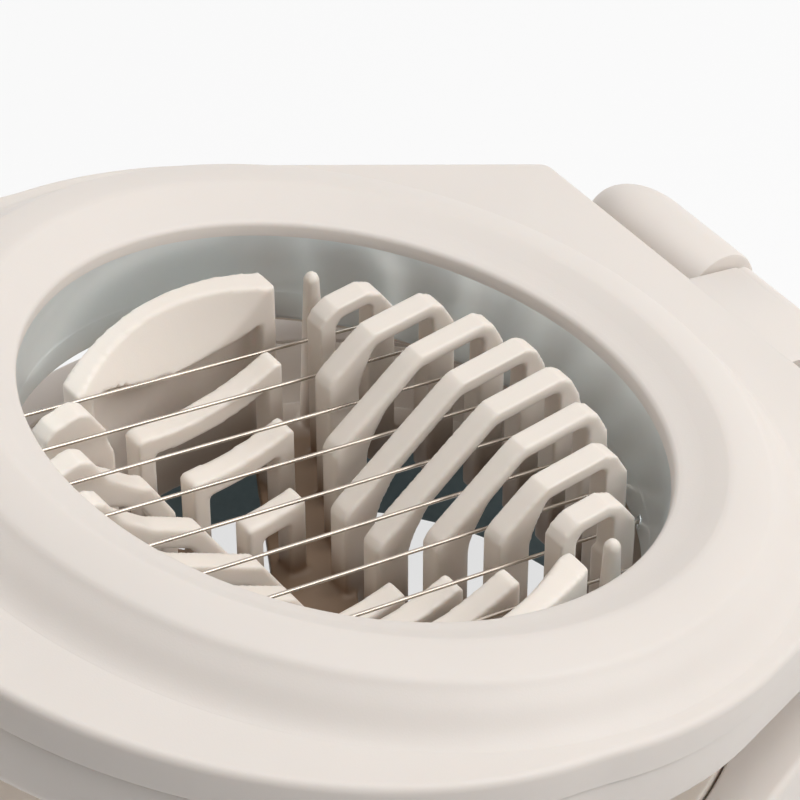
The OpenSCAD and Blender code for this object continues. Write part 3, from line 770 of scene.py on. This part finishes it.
class SLICER_OT_ring(bpy.types.Operator):
    """Makes the steel ring that the wires run through"""
    bl_idname = "slicer.ring"
    bl_label = "Steel ring"

    def execute(self, context):
        sizes = context.scene.slicer_ring
        top = context.scene.slicer_frame.lip_z - 1.3 * MM
        wall = 0.9 * MM
        profile = from_corner(sizes.inner_r, top, (0.15, 0), (0.08, -0.2), (0, -0.6), (-0.1, -3))
        profile += from_corner(sizes.step_r, sizes.step_z, (0.09, 0.5), (0.06, 0.12), (0.03, 0), (0, -0.12))
        profile += from_corner(sizes.step_r, sizes.low_z, (0, 0.2))
        profile += arc_points(sizes.step_r + wall / 2, sizes.low_z + 0.25 * MM, wall / 2, 180, 360, 6)
        profile.append((sizes.step_r + wall, top))
        piece = add_piece("steel_ring", turned(profile, 288), raised(), finish("ring_steel"), "cutter",
                          ["wire_ring"], 25)
        return {"FINISHED"}


class SLICER_OT_grip(bpy.types.Operator):
    """Makes the grip ridges across the lifting tab"""
    bl_idname = "slicer.grip"
    bl_label = "Grip ridges"

    def execute(self, context):
        sizes = context.scene.slicer_frame
        tree = SizedTree("grip_ridges")
        count = tree.size("Count", sizes.ridges, "NodeSocketInt")
        pitch = tree.size("Pitch", sizes.ridge_gap)
        long = tree.size("Length", sizes.tab_w - 14 * MM)
        radius = tree.size("Radius", 0.5 * MM)
        front = tree.size("First ridge", -sizes.front_shift - sizes.front_r - sizes.tab_reach + 3.2 * MM)
        height = tree.size("Height", sizes.lip_z - sizes.flat_drop - 0.06 * MM)
        points = tree.row(count, tree.vector(Y=front, Z=height), tree.vector(Y=pitch))
        along = tree.node("GeometryNodeSplineParameter", {})
        off = tree.maths("ABSOLUTE", tree.minus(tree.times(along, 2.0), 1.0))
        taper = tree.maths("SQRT", tree.minus(1.02, tree.maths("POWER", off, 14.0)))
        bar = tree.node("GeometryNodeSetCurveRadius", {"Curve": tree.bar("X", long, 40), "Radius": taper})
        ridges = tree.copies(points, tree.swept(bar, radius, 16, True))
        piece = tree.built(ridges, "grip_ridges", finish("shell_plastic"), raised())
        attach(piece, "cutter")
        return {"FINISHED"}


class SLICER_OT_wire_ends(bpy.types.Operator):
    """Makes the pressed eyelets of the ring and the crimped beads behind them"""
    bl_idname = "slicer.wire_ends"
    bl_label = "Wire eyelets and beads"

    def execute(self, context):
        self.add_eyelets(context.scene.slicer_ring)
        self.add_beads(context.scene.slicer_ring)
        return {"FINISHED"}

    def add_eyelets(self, sizes):
        tree = SizedTree("wire_eyelets")
        wall = tree.size("Wall radius", sizes.step_r + 0.02 * MM)
        wide = tree.size("Eyelet radius", sizes.dimple_r)
        lip = tree.size("Lip radius", 0.14 * MM)
        points = wire_end_points(tree, sizes, wall)
        place = tree.node("GeometryNodeInputPosition", {})
        flat = tree.node("ShaderNodeVectorMath", {0: place, 1: (1, 1, 0)}, operation="MULTIPLY")
        turn = tree.node("FunctionNodeAlignRotationToVector", {"Vector": flat}, axis="Z")
        hoop = tree.node("GeometryNodeCurvePrimitiveCircle", {"Resolution": 28, "Radius": wide})
        eyelets = tree.copies(points, tree.swept(hoop, lip, 10), Rotation=turn)
        piece = tree.built(eyelets, "wire_eyelets", finish("ring_steel"), raised())
        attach(piece, "cutter")

    def add_beads(self, sizes):
        tree = SizedTree("wire_beads")
        circle = tree.size("Circle radius", sizes.step_r + 2.4 * MM)
        wide = tree.size("Bead radius", 0.64 * MM)
        long = tree.size("Bead length", 1.1 * MM)
        points = wire_end_points(tree, sizes, circle)
        along = tree.node("GeometryNodeSplineParameter", {})
        wave = tree.maths("COSINE", tree.times(along, 4 * math.pi))
        pinch = tree.minus(0.9, tree.times(wave, 0.1))
        bar = tree.node("GeometryNodeSetCurveRadius", {"Curve": tree.bar("Y", long, 9), "Radius": pinch})
        beads = tree.copies(points, tree.swept(bar, wide, 14, True))
        piece = tree.built(beads, "wire_beads", finish("wire_steel"), raised())
        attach(piece, "cutter")
        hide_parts("wire_crimps")


class SLICER_OT_wires(bpy.types.Operator):
    """Strings the cutting wires and gives the hinge pin its steel"""
    bl_idname = "slicer.wires"
    bl_label = "Wires and pin"

    def execute(self, context):
        sizes = context.scene.slicer_ring
        tree = SizedTree("cutting_wires")
        circle = tree.size("Circle radius", sizes.step_r + 2.6 * MM)
        thick = tree.size("Wire radius", sizes.wire_r)
        points, _ = wire_row(tree, sizes)
        _, reach = half_chord(tree, circle)
        unit = tree.node("GeometryNodeCurvePrimitiveLine", {"Start": (0, -1, 0), "End": (0, 1, 0)})
        stretch = tree.vector(X=1.0, Y=reach, Z=1.0)
        wires = tree.copies(points, tree.swept(unit, thick, 16, True), Scale=stretch)
        piece = tree.built(wires, "cutting_wires", finish("wire_steel"), raised())
        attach(piece, "cutter")
        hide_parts(*WIRES)
        self.dress("hinge_pin", finish("screw_steel"))
        return {"FINISHED"}

    def dress(self, node, material):
        """Puts a material on a CAD node."""
        piece = frame["nodes"][node]
        if not piece.material_slots:
            piece.data.materials.append(material)
        for place in piece.material_slots:
            place.material = material


# ---------- the base's forms ----------

class SLICER_OT_bed(bpy.types.Operator):
    """Makes the egg bed with softly rounded ribs"""
    bl_idname = "slicer.bed"
    bl_label = "Egg bed"

    solid_bar = 2.3 * MM       # thickness of the bars in the CAD's bed
    solid_leg = 2 * MM         # depth of the inner legs there

    def execute(self, context):
        sizes = context.scene.slicer_bed
        piece = new_object("rib_bed", frame["nodes"]["egg_bed"].data.copy())
        cleaned(piece.data)
        piece.data.materials.clear()
        for side in (-1, 1):
            cut_away(piece, self.hood_hollow(sizes, side))
        ribs = [(k - 3.5) * sizes.pitch for k in range(8)]
        reach = sizes.rib_t / 2 + 0.2 * MM
        for x in ribs:
            cut_away(piece, prism(x - reach, x + reach, self.bar_relief(sizes, x)))
        webs = [prism(x - sizes.rib_t / 2, x + sizes.rib_t / 2, self.leg_web(sizes, x)) for x in ribs[1:-1]]
        moulded(piece, sizes.voxel, 4, 0.33, webs)
        piece.data.materials.append(finish("bed_plastic"))
        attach(piece, "base")
        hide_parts("egg_bed")
        return {"FINISHED"}

    def hood_hollow(self, sizes, side):
        """Closed form under one hood's lip, whose far side keeps the hood's round wall whole."""
        near = sizes.hood_x - 0.6 * MM
        wall_r, bottom = 27 * MM, 22 * MM
        loops = []
        for y, z in self.hood_edge(sizes):
            far = math.sqrt(wall_r ** 2 - y ** 2)
            section = [(near, z), (far, z - 1.2 * MM), (far, bottom), (near, bottom)]
            loops.append([settled() @ Vector((side * x, y, height)) for x, height in section])
        verts, faces = capped_loops(loops)
        return verts, faces if side > 0 else [tuple(reversed(face)) for face in faces]

    def hood_edge(self, sizes):
        """Height of the opening under a hood's lip, higher on the front side."""
        return smooth_curve(from_corner(0.0, sizes.hood_z, (-10.2, 3.2), (-8, 2.9), (-6, 2.2), (-3.6, 1.3),
                                        (-1, 0.85), (1.5, 0.75), (4.3, 0.9), (6.8, 1.1), (8.7, 1.4),
                                        (10.2, 1.9)), 4)

    def underside(self, sizes, x):
        """Inner leg's y, the bar's lowest underside, its slope and where it levels out, for one rib."""
        inner = sizes.web_start + abs(x) * math.tan(CHANNEL_ANGLE)
        knee = max(sizes.hollow_b * math.sqrt(1 - (x / sizes.hollow_a) ** 2), inner + 1.7 * MM)
        low = sizes.rib_z - (knee - inner) * RIB_SLOPE - 1.74 * MM
        span = max(knee + 0.2 * MM, inner + 2.6 * MM) - inner - self.solid_leg
        return inner, low, (sizes.rib_z - self.solid_bar - low) / span, span

    def bar_relief(self, sizes, x):
        """What is taken off below a hinge-side rib's bar to make it slender."""
        inner, low, fall, span = self.underside(sizes, x)
        ends_mm, outer_leg = 30.2, 3.0 * MM
        level = sizes.rib_z - sizes.bar_t
        end = math.sqrt(ends_mm ** 2 - (x / MM) ** 2) * MM - outer_leg
        rise = self.solid_bar - sizes.bar_t
        first = inner + self.solid_leg
        shape = from_corner(first, low, (0, -1.5), (0, 0.4))
        shape += [(first + 0.8 * MM, low + 0.8 * MM * fall + rise), (first + span + 0.1 * MM, level)]
        shape += from_corner(end, level, (-0.6, 0), (0, -0.6), (0, -6))
        return shape + [(first + span, level - 3.5 * MM)]

    def leg_web(self, sizes, x):
        """Web that widens the inner leg of a hinge-side rib and fills its upper corner."""
        inner, low, fall, _ = self.underside(sizes, x)
        back, foot = 1.2 * MM, 18.8 * MM
        shape = [(back, 1 * MM), (back, None), (sizes.web, None)]
        shape += from_corner(sizes.web, 0.0, (0, -2.6), (0.25, -1.6), (0.9, -0.6), (1.9, 0.3), (3, 1.2))
        return [(inner + y, foot if z is None else low + (y - self.solid_leg) * fall + z) for y, z in shape]


def base_path(frame_sizes, sizes):
    """Closed anticlockwise outline of the base: the frame's plan and the ledge under the knuckles."""
    out = sizes.margin
    front_r = frame_sizes.front_r + out
    round_r = frame_sizes.round_r + out
    half = []
    for angle in range(3, 96, 2):
        turn = math.radians(angle - 90)
        point = (front_r * math.cos(turn), -frame_sizes.front_shift + front_r * math.sin(turn), 0)
        if math.hypot(point[0], point[1]) < round_r and angle > 60:
            break
        half.append(point)
    corner = Vector((frame_sizes.corner_x + out, frame_sizes.corner_y + out))
    arc_to_corner(half, corner, round_r)
    ledge_x, ledge_y = sizes.knuckle_x + sizes.dome, 65.3 * MM
    half += [(corner.x, corner.y, 2.6 * MM), (ledge_x, corner.y, 1.0 * MM), (ledge_x, ledge_y, 4 * MM)]
    return mirrored_outline(half, 1.4 * MM)


class SLICER_OT_base(bpy.types.Operator):
    """Makes the base shell with its rim, deck, rear ledge and hinge knuckles"""
    bl_idname = "slicer.base"
    bl_label = "Base shell"

    inner_x = 8.6 * MM         # where the knuckles begin, beside the tongue

    def execute(self, context):
        sizes = context.scene.slicer_base
        self.add_body(context, sizes)
        verts, faces = [], []
        for side in (1, -1):
            more, sides = self.knuckle(sizes, side)
            faces += [tuple(len(verts) + i for i in face) for face in sides]
            verts += more
        self.finished(plain_object("knuckles", verts, faces), [])
        return {"FINISHED"}

    def add_body(self, context, sizes):
        path = base_path(context.scene.slicer_frame, sizes)
        rim = sizes.rim_z
        seat = rim - 1.9 * MM
        under = seat - 2.2 * MM
        edge = 0.9 * MM
        turns = [math.pi / 2 * k / 5 for k in range(6)]
        outside = from_corner(0.0, sizes.foot_gap, (0.35, 0), (0.1, 0.1), (0, 0.35))
        outside += [(edge - edge * math.cos(a), rim - edge + edge * math.sin(a)) for a in turns]
        deck = from_corner(sizes.seat_r, rim, (0.5, 0), (0.2, -0.08), (0, -0.35)) + [(sizes.seat_r, seat)]
        deck += from_corner(sizes.hole_r, seat, (0.3, 0), (0, -0.3))
        deck += [(sizes.hole_r, under), (sizes.seat_r - 2 * MM, under)]
        inside = from_corner(sizes.wall, under, (0.4, 0), (0, -0.4))
        inside += from_corner(sizes.wall, sizes.foot_gap, (0, 0.3), (-0.3, 0))
        loops = side_loops(path, outside) + round_loops(path, deck) + side_loops(path, inside)
        verts, faces = joined_loops(loops)
        piece = plain_object("base_body", [settled() @ Vector(v) for v in verts], faces)
        groove_r, points = 6.9 * MM, 60
        turns = [math.radians(6 * k) for k in range(points)]
        groove = [(x, HINGE.y + groove_r * math.cos(a), HINGE.z + groove_r * math.sin(a))
                  for x in (-self.inner_x, self.inner_x) for a in turns]
        cut_away(piece, (groove, prism_faces(points)))
        self.finished(piece, ["base_shell"])

    def finished(self, piece, nodes):
        cleaned(piece.data)
        shaded(piece, finish("shell_plastic"), 35)
        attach(piece, "base")
        if nodes:
            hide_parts(*nodes)

    def knuckle(self, sizes, side):
        """Sections along the pin: an arched back on straight sides, with a domed outer end."""
        sections = from_corner(self.inner_x, sizes.knuckle_r, (0, -0.35), (0.1, -0.1), (0.35, 0))
        sections.append((sizes.knuckle_x, sizes.knuckle_r))
        blunt, arched = 0.85, 1.12
        for a in (math.radians(6 * k) for k in range(1, 15)):
            sections.append((sizes.knuckle_x + sizes.dome * math.sin(a),
                             sizes.knuckle_r * math.cos(a) ** blunt))
        low = sizes.rim_z - 0.5 * MM
        steps = 28
        turns = [math.pi * k / steps for k in range(steps + 1)]
        loops = []
        for x, r in sections:
            arch = [(side * x, HINGE.y + r * math.cos(a), HINGE.z + arched * r * math.sin(a)) for a in turns]
            loops.append([(side * x, HINGE.y + r, low)] + arch + [(side * x, HINGE.y - r, low)])
        return capped_loops(loops)


class SLICER_OT_liner(bpy.types.Operator):
    """Makes the rubber liner with the grip rings under its foot"""
    bl_idname = "slicer.liner"
    bl_label = "Non-slip liner"

    def execute(self, context):
        sizes = context.scene.slicer_base
        top = sizes.rim_z - 4.1 * MM
        low = sizes.low_r
        foot = low + 4.1 * MM
        profile = [(sizes.hole_r, top)] + from_corner(low, 0.0, (-0.05, 0.5), (0.05, 0.12), (0.25, 0))
        for k in range(3):
            r = low + (0.9 + 1.05 * k) * MM
            profile += from_corner(r, 0.0, (0, 0), (0.12, 0.35), (0.38, 0.35), (0.5, 0))
        profile += from_corner(foot, 0.0, (-0.35, 0), (-0.05, 0.12), (0.1, 0.45), (0, 1.2), (-0.3, 1.55))
        profile += from_corner(low, 0.0, (3.0, 1.65), (2.3, 1.95), (2.0, 2.7))
        profile.append((sizes.hole_r + 2 * MM, top))
        piece = add_piece("liner", turned(profile, 240), settled(), finish("liner_rubber"), "base",
                          ["base_liner"], 30)
        return {"FINISHED"}


# ---------- screws ----------

class SLICER_OT_screws(bpy.types.Operator):
    """Makes the cross-recessed screws of the frame and of the bed"""
    bl_idname = "slicer.screws"
    bl_label = "Screws"

    def execute(self, context):
        sizes = context.scene.slicer_screws
        pattern = self.screw_pattern(sizes)
        self.add_screws("shell_screws", pattern, sizes.frame_r, math.radians(35), 21.1 * MM, raised(),
                        "cutter", "frame_screws")
        self.add_screws("deck_screws", pattern, sizes.bed_r, math.radians(45), 15.05 * MM, settled(),
                        "base", "bed_screws")
        bpy.data.objects.remove(pattern)
        return {"FINISHED"}

    def screw_pattern(self, sizes):
        """One screw, head down, with a cross recess."""
        profile = from_corner(sizes.head_r, 0.0, (-0.55, 0), (-0.2, 0.12), (0, 0.4), (0, 1.1))
        profile += from_corner(0.0, 0.0, (1.05, 1.15), (1.05, 3.6), (0.02, 3.6), (0.02, 0))
        pattern = plain_object("screw_pattern", *turned(profile, 32))
        arm, width, depth = 1.1 * MM, 0.2 * MM, 0.7 * MM
        sides = [(0, 1, 3, 2), (4, 6, 7, 5), (0, 4, 5, 1), (2, 3, 7, 6), (0, 2, 6, 4), (1, 5, 7, 3)]
        for far, near in ((arm, width), (width, arm)):
            box = [(x, y, z) for x in (-far, far) for y in (-near, near) for z in (-0.2 * MM, depth)]
            cut_away(pattern, (box, sides))
        return pattern

    def add_screws(self, name, pattern, circle, angle, low, matrix, body, node):
        tree = SizedTree(name)
        radius = tree.size("Circle radius", circle)
        turn = tree.size("Angle", angle)
        height = tree.size("Height", low)
        model = tree.size("Screw", pattern, "NodeSocketObject")
        across = tree.times(radius, 2.0)
        wide, deep = (tree.times(across, tree.maths(share, turn)) for share in ("COSINE", "SINE"))
        grid = tree.node("GeometryNodeMeshGrid", {"Size X": wide, "Size Y": deep,
                                                  "Vertices X": 2, "Vertices Y": 2})
        grid = tree.node("GeometryNodeTransform", {"Geometry": grid, "Translation": tree.vector(Z=height)})
        screws = tree.copies(grid, tree.node("GeometryNodeObjectInfo", {"Object": model}, "Geometry"))
        piece = tree.built(screws, name, finish("screw_steel"), matrix)
        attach(piece, body)
        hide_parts(node)


# ---------- studio ----------

class SLICER_OT_stage(bpy.types.Operator):
    """Makes the floor, the lights and the camera"""
    bl_idname = "slicer.stage"
    bl_label = "Studio"

    def execute(self, context):
        sizes = context.scene.slicer_stage
        self.add_floor(context, sizes)
        self.add_world(context, sizes)
        self.add_lamp("overhead", (0.0, 0.3, 1.1), 0.8, 6.6)
        self.add_lamp("right_key", (0.62, 0.68, 0.8), 0.5, 6.8)
        self.add_lamp("left_fill", (-0.9, -0.6, 0.25), 0.5, 3.2)
        self.add_camera(context, sizes)
        return {"FINISHED"}

    def add_floor(self, context, sizes):
        """Paper that the camera sees mostly as plain white light."""
        material, tree, shader = new_material("studio_paper")
        fill_inputs(tree, shader, {"Base Color": (0.86, 0.86, 0.86, 1), "Roughness": 0.9})
        light = new_node(tree, "ShaderNodeEmission", {"Color": (1, 1, 1, 1), "Strength": sizes.shown_white})
        seen = new_node(tree, "ShaderNodeMath", {0: self.seen_directly(tree), 1: 0.75}, operation="MULTIPLY")
        mix = new_node(tree, "ShaderNodeMixShader", {"Fac": seen, 1: shader.outputs[0], 2: light})
        fill_inputs(tree, tree.nodes["Material Output"], {"Surface": mix})
        mesh = bpy.data.meshes.new("floor")
        reach = 3.0
        mesh.from_pydata([(-reach, -reach, 0), (reach, -reach, 0), (reach, reach, 0), (-reach, reach, 0)], [],
                         [(0, 1, 2, 3)])
        mesh.materials.append(material)
        floor = new_object("floor", mesh)

    def seen_directly(self, tree):
        """1 for what the camera sees, itself or in metal and glass."""
        path = tree.nodes.new("ShaderNodeLightPath").outputs
        either = new_node(tree, "ShaderNodeMath", {0: path["Is Camera Ray"], 1: path["Is Glossy Ray"]},
                          operation="MAXIMUM")
        return new_node(tree, "ShaderNodeMath", {0: either, 1: path["Is Transmission Ray"]},
                        operation="MAXIMUM")

    def add_world(self, context, sizes):
        world = bpy.data.worlds.new("studio")
        world.use_nodes = True
        context.scene.world = world
        tree = world.node_tree
        back = tree.nodes["Background"]
        white = (1, 1, 1, 1)
        fill_inputs(tree, back, {"Color": white, "Strength": 0.25})
        bright = new_node(tree, "ShaderNodeBackground", {"Color": white, "Strength": sizes.shown_white})
        seen = self.seen_directly(tree)
        mix = new_node(tree, "ShaderNodeMixShader", {"Fac": seen, 1: back.outputs[0], 2: bright})
        fill_inputs(tree, tree.nodes["World Output"], {"Surface": mix})

    def add_lamp(self, name, place, size, watts):
        """Square lamp that points at the slicer."""
        lamp = bpy.data.lights.new(name, "AREA")
        lamp.shape = "RECTANGLE"
        lamp.size = lamp.size_y = size
        lamp.energy = watts
        holder = new_object(name, lamp)
        holder.location = place
        holder.rotation_euler = (Vector((0, 0, 0.03)) - Vector(place)).to_track_quat("-Z", "Y").to_euler()

    def add_camera(self, context, sizes):
        camera = bpy.data.cameras.new("camera")
        camera.lens = sizes.lens
        camera.sensor_width = 36
        camera.clip_start = 0.01
        holder = new_object("camera", camera)
        right = Vector((0.60807, 0.79388, 0.0))
        up = Vector((-0.54705, 0.41902, 0.72468))
        turn = Matrix((right, up, right.cross(up))).transposed()
        place = Vector((0.19514, -0.13941 + HINGE.y - HINGE_REACH, 0.28023))
        holder.matrix_world = Matrix.Translation(place) @ turn.to_4x4()
        context.scene.camera = holder


class SLICER_PT_panel(bpy.types.Panel):
    bl_label = "Egg slicer"
    bl_idname = "SLICER_PT_panel"
    bl_space_type = "VIEW_3D"
    bl_region_type = "UI"
    bl_category = "Slicer"

    def draw(self, context):
        for operator in OPERATORS:
            self.layout.operator(operator.bl_idname)


GROUPS = {"slicer_frame": FrameSizes, "slicer_ring": RingSizes, "slicer_bed": BedSizes,
          "slicer_base": BaseSizes, "slicer_screws": ScrewSizes, "slicer_finish": Finish,
          "slicer_stage": StageSizes}
OPERATORS = (SLICER_OT_frame_top, SLICER_OT_frame_bottom, SLICER_OT_tongue, SLICER_OT_grip, SLICER_OT_ring,
             SLICER_OT_wire_ends, SLICER_OT_bed, SLICER_OT_base, SLICER_OT_liner, SLICER_OT_screws,
             SLICER_OT_wires, SLICER_OT_stage)


def register():
    for name, group in GROUPS.items():
        bpy.utils.register_class(group)
        setattr(bpy.types.Scene, name, PointerProperty(type=group))
    for operator in OPERATORS:
        bpy.utils.register_class(operator)
    bpy.utils.register_class(SLICER_PT_panel)


def unregister():
    bpy.utils.unregister_class(SLICER_PT_panel)
    for operator in reversed(OPERATORS):
        bpy.utils.unregister_class(operator)
    for name, group in reversed(GROUPS.items()):
        delattr(bpy.types.Scene, name)
        bpy.utils.unregister_class(group)


def main():
    register()
    bpy.context.scene.view_settings.view_transform = "Standard"
    bpy.ops.slicer.frame_top()
    bpy.ops.slicer.frame_bottom()
    bpy.ops.slicer.tongue()
    bpy.ops.slicer.grip()
    bpy.ops.slicer.ring()
    bpy.ops.slicer.wire_ends()
    bpy.ops.slicer.bed()
    bpy.ops.slicer.base()
    bpy.ops.slicer.liner()
    bpy.ops.slicer.screws()
    bpy.ops.slicer.wires()
    bpy.ops.slicer.stage()


if __name__ == "__main__":
    main()
